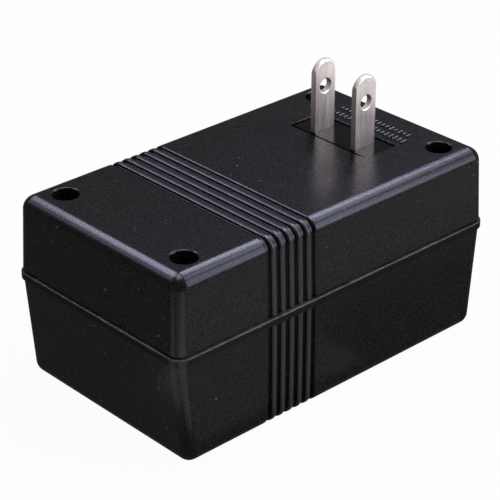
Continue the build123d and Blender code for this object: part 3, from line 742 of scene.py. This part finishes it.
# %% The tree for a row of bars
def bar_tree(material):
    """A row of bars along Y: each is centred on a point of the row and has its own length along X."""
    sizes = {"Count": "Int", "Pitch": "Float", "Width": "Float", "Least length": "Float",
             "Most length": "Float", "Height": "Float", "Place": "Vector", "Seed": "Int"}
    tree, given, out = new_tree("raised_bars", sizes)
    step = tree_node(tree, "ShaderNodeCombineXYZ", {"Y": given.outputs["Pitch"]})
    row = tree_node(tree, "GeometryNodeMeshLine", {
        "Count": given.outputs["Count"], "Start Location": given.outputs["Place"],
        "Offset": step.outputs["Vector"]})
    cube_size = tree_node(tree, "ShaderNodeCombineXYZ", {
        "X": given.outputs["Most length"], "Y": given.outputs["Width"], "Z": given.outputs["Height"]})
    cube = tree_node(tree, "GeometryNodeMeshCube", {"Size": cube_size.outputs["Vector"]})
    least_share = tree_node(tree, "ShaderNodeMath", {
        0: given.outputs["Least length"], 1: given.outputs["Most length"]}, operation="DIVIDE")
    length = tree_node(tree, "FunctionNodeRandomValue", {
        2: least_share.outputs["Value"], 3: 1.0, "Seed": given.outputs["Seed"]}, data_type="FLOAT")
    scale = tree_node(tree, "ShaderNodeCombineXYZ", {"X": length.outputs[1], "Y": 1.0, "Z": 1.0})
    bars = tree_node(tree, "GeometryNodeInstanceOnPoints", {
        "Points": row.outputs["Mesh"], "Instance": cube.outputs["Mesh"], "Scale": scale.outputs["Vector"]})
    close_tree(tree, bars.outputs["Instances"], material, out)
    return tree


bar_shape = bar_tree(materials["case_plastic"])
print("tree", bar_shape.name, "has", len(bar_shape.nodes), "nodes")

# %% Two rows of raised bars on the rear face
bar_width = 0.5 * mm
bar_height = 0.6 * mm                   # half of it stands out of the face
bar_pitch = 1.3 * mm
bar_rounding = 0.2 * mm
shortest_bar, longest_bar = 1.2 * mm, 2.3 * mm
row_places = (7.6 * mm, 10.6 * mm)      # from the blades' middle to each row
row_counts = (19, 17)
first_seed = 3
bar_rows = []
for index, (reach, count) in enumerate(zip(row_places, row_counts)):
    first_y = -(count - 1) / 2 * bar_pitch
    row = grow("raised_bars_" + str(index + 1), bar_shape, {
        "Count": count, "Pitch": bar_pitch, "Width": bar_width, "Least length": shortest_bar,
        "Most length": longest_bar, "Height": bar_height, "Place": (blade_x + reach, first_y, rear_face_z),
        "Seed": first_seed + index}, bevel=bar_rounding)
    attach(row, "root")
    bar_rows.append(row)

# %% [markdown]
# Nothing on this object moves, so all of it is one body, named root. Each rounded piece now rides
# on that body and takes the place of the node that it was copied from. The node itself is hidden,
# but stays in the model for collision.

# %% Stand the rounded pieces in for their nodes
for name, piece in rounded_pieces.items():
    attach(piece, "root")
    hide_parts(name)
print("pieces that ride on root", len(rounded_pieces) + len(bar_rows))

# %% [markdown]
# The photograph is a product shot on white. The camera stands to the left of and above the near
# corner. Its place was found by fitting a pinhole camera to the case's edges, well mouths and
# blades, so it is written as a place and a direction, with a long lens.

# %% Camera
camera_place = Vector((-260.616, -279.261, 230.819)) * mm
camera_right = Vector((0.733634, -0.679545, 0.0))
camera_up = Vector((0.322668, 0.348351, 0.880078))
camera_back = Vector((-0.598052, -0.645655, 0.474829))
photo_pixels = 500
focal_pixels = 1952.85

camera_data = bpy.data.cameras.new("camera")
camera = bpy.data.objects.new("camera", camera_data)
bpy.context.scene.collection.objects.link(camera)
turn = Matrix((camera_right, camera_up, camera_back)).transposed().to_4x4()
camera.matrix_world = Matrix.Translation(camera_place) @ turn
camera_data.sensor_width = 36
camera_data.lens = camera_data.sensor_width * focal_pixels / photo_pixels
camera_data.clip_start = 10 * mm
camera_data.clip_end = 100
bpy.context.scene.camera = camera
print("lens", round(camera_data.lens, 1), "mm")

# %% [markdown]
# The floor is a pale sheet. A white floor would need so much light that the object would be washed
# out. So to the camera, and in gloss and glass, the floor glows close to white, mixed with a
# little of the light that really falls on it, which keeps the object's soft shadow. The world
# does the same behind it. For the light that falls on the object, both are dimmer.

# %% Floor
floor_half = 3.0
floor_colour = (0.86, 0.86, 0.87, 1)
glow_share = 0.96                       # the rest is the floor as the lamps light it


def seen_directly(tree):
    """1 for camera, glossy and transmission rays."""
    path = tree.nodes.new("ShaderNodeLightPath")
    total = path.outputs["Is Camera Ray"]
    for label in ("Is Glossy Ray", "Is Transmission Ray"):
        add = tree.nodes.new("ShaderNodeMath")
        add.operation = "MAXIMUM"
        tree.links.new(total, add.inputs[0])
        tree.links.new(path.outputs[label], add.inputs[1])
        total = add.outputs["Value"]
    return total


def make_floor_material():
    """A pale sheet that glows to the camera and is lit as usual for all else."""
    material = bpy.data.materials.new("pale_floor")
    material.use_nodes = True
    tree = material.node_tree
    tree.nodes.clear()
    lit = tree.nodes.new("ShaderNodeBsdfDiffuse")
    lit.inputs["Color"].default_value = floor_colour
    glow = tree.nodes.new("ShaderNodeEmission")
    glow.inputs["Strength"].default_value = 1.0
    share = tree.nodes.new("ShaderNodeMath")
    share.operation = "MULTIPLY"
    share.inputs[1].default_value = glow_share
    tree.links.new(seen_directly(tree), share.inputs[0])
    mix = tree.nodes.new("ShaderNodeMixShader")
    tree.links.new(share.outputs["Value"], mix.inputs[0])
    tree.links.new(lit.outputs["BSDF"], mix.inputs[1])
    tree.links.new(glow.outputs["Emission"], mix.inputs[2])
    end = tree.nodes.new("ShaderNodeOutputMaterial")
    tree.links.new(mix.outputs["Shader"], end.inputs["Surface"])
    return material


floor_mesh = bpy.data.meshes.new("floor")
corners = [(-floor_half, -floor_half, 0), (floor_half, -floor_half, 0), (floor_half, floor_half, 0),
           (-floor_half, floor_half, 0)]
floor_mesh.from_pydata(corners, [], [(0, 1, 2, 3)])
floor = bpy.data.objects.new("floor", floor_mesh)
bpy.context.scene.collection.objects.link(floor)
floor.data.materials.append(make_floor_material())
print("floor", floor_half * 2, "m wide")

# %% World
light_on_object = 0.3
light_behind = 1.0

world = bpy.data.worlds.new("studio")
bpy.context.scene.world = world
world.use_nodes = True
backdrop = world.node_tree.nodes["Background"]
backdrop.inputs["Color"].default_value = (1, 1, 1, 1)
level = world.node_tree.nodes.new("ShaderNodeMapRange")
level.inputs["To Min"].default_value = light_on_object
level.inputs["To Max"].default_value = light_behind
world.node_tree.links.new(seen_directly(world.node_tree), level.inputs["Value"])
world.node_tree.links.new(level.outputs["Result"], backdrop.inputs["Strength"])
print("world", light_on_object, "on the object,", light_behind, "behind it")

# %% [markdown]
# Two soft lamps and the world light the object, at a plain level at which colours render as
# written. Black plastic shows little of that light, though: it is seen by what it mirrors. So the
# other lamps add gloss and no other light. Each stands where one face or edge mirrors it to the
# camera, and light linking keeps it to the case or to the blades. The strips draw the lavender
# lines along the two top edges, and their tails let those lines fade out. A softbox overhead does
# the near corner, the low strips the lower part of the near edge, and one strip the blades. Small
# cards on the floor lift the lower faces.

# %% Helpers for lamps
def add_lamp(name, direction, distance, size, power, colour=(1, 1, 1)):
    """A rectangular area lamp, in that direction from the middle of the case, which it faces."""
    lamp = bpy.data.lights.new(name, "AREA")
    lamp.shape = "RECTANGLE"
    lamp.size, lamp.size_y = size
    lamp.energy = power
    lamp.color = colour
    holder = bpy.data.objects.new(name, lamp)
    bpy.context.scene.collection.objects.link(holder)
    middle = (cad_low + cad_high) / 2
    toward = Vector(direction).normalized()
    holder.location = middle + toward * distance
    holder.rotation_mode = "QUATERNION"
    holder.rotation_quaternion = toward.to_track_quat("Z", "Y")
    holder.visible_camera = False
    return holder


def only_gloss(holder, receivers):
    """The lamp then shows only in the gloss of those pieces, and adds no other light."""
    holder.visible_diffuse = False
    holder.light_linking.receiver_collection = receivers
    return holder


def lay_card(name, place, size, power, receivers):
    """A small bright card that faces up from the floor and shows only in those pieces' gloss."""
    from_below = (0, 0, -1)
    card = only_gloss(add_lamp(name, from_below, 0.0, size, power), receivers)
    card.location = Vector(place) * mm


def group_pieces(name, pieces):
    """A collection of pieces for lamps to be linked to."""
    group = bpy.data.collections.new(name)
    for piece in pieces:
        group.objects.link(piece)
    print(name, [piece.name for piece in pieces])
    return group


shells = [rounded_pieces["rear_shell"], rounded_pieces["front_shell"]]
case_pieces = group_pieces("case_pieces", shells + bar_rows)
blades = group_pieces("blades", [rounded_pieces["plug_blade_left"], rounded_pieces["plug_blade_right"]])

# %% Soft lamps
soft_distance = 1.2
add_lamp("key_lamp", (0.55, -0.55, 0.63), soft_distance, (0.6, 0.6), 7.0)
add_lamp("top_lamp", (0.2, 0.1, 1.0), soft_distance, (0.9, 0.9), 4.0)
print("soft lamps", soft_distance, "m away")

# %% Strips and cards for the gloss
strip_distance = 1.0
lavender, pale_lavender, lilac_white = (0.72, 0.72, 1.0), (0.84, 0.84, 1.0), (0.92, 0.88, 0.96)
mirror_way = (0.598, -0.72, 0.34)       # low on the near side, for the blades and the near edge

# name, direction, size in metres, power in watts, colour, what shows it
for name, direction, size, power, colour, receivers in (
        ("near_edge_strip", (0.598, 0.20, 0.78), (0.56, 0.20), 46.0, lavender, case_pieces),
        ("near_edge_tail", (0.598, -0.30, 0.74), (0.40, 0.20), 14.0, lavender, case_pieces),
        ("left_edge_strip", (-0.05, 0.646, 0.76), (0.56, 0.20), 39.0, lavender, case_pieces),
        ("left_edge_tail", (-0.50, 0.646, 0.58), (0.35, 0.20), 5.5, lavender, case_pieces),
        ("corner_softbox", (0.02, 0.06, 0.98), (0.62, 0.62), 60.0, pale_lavender, case_pieces),
        ("blade_strip", mirror_way, (0.22, 0.56), 36.0, lilac_white, blades),
        ("low_strip", mirror_way, (0.30, 0.50), 21.0, lavender, case_pieces),
        ("low_tail", (0.598, -0.80, 0.10), (0.30, 0.24), 6.0, lavender, case_pieces)):
    only_gloss(add_lamp(name, direction, strip_distance, size, power, colour), receivers)

# name, place in millimetres, size in metres, power in watts
for name, place, size, power in (
        ("right_card", (40, -115, 0.5), (0.24, 0.11), 0.21),
        ("foot_card", (-12, -44, 0.7), (0.05, 0.025), 0.005),
        ("corner_card", (-60, -80, 0.6), (0.04, 0.085), 0.06),
        ("high_corner_card", (-98, -74, 0.7), (0.06, 0.05), 0.035),
        ("left_card", (-100, -18, 0.6), (0.08, 0.035), 0.04)):
    lay_card(name, place, size, power, case_pieces)

# %% [markdown]
# The Standard view shows colours as they are written, where Blender's default would grey the
# white.

# %% Close with the Standard view
bpy.context.scene.view_settings.view_transform = "Standard"
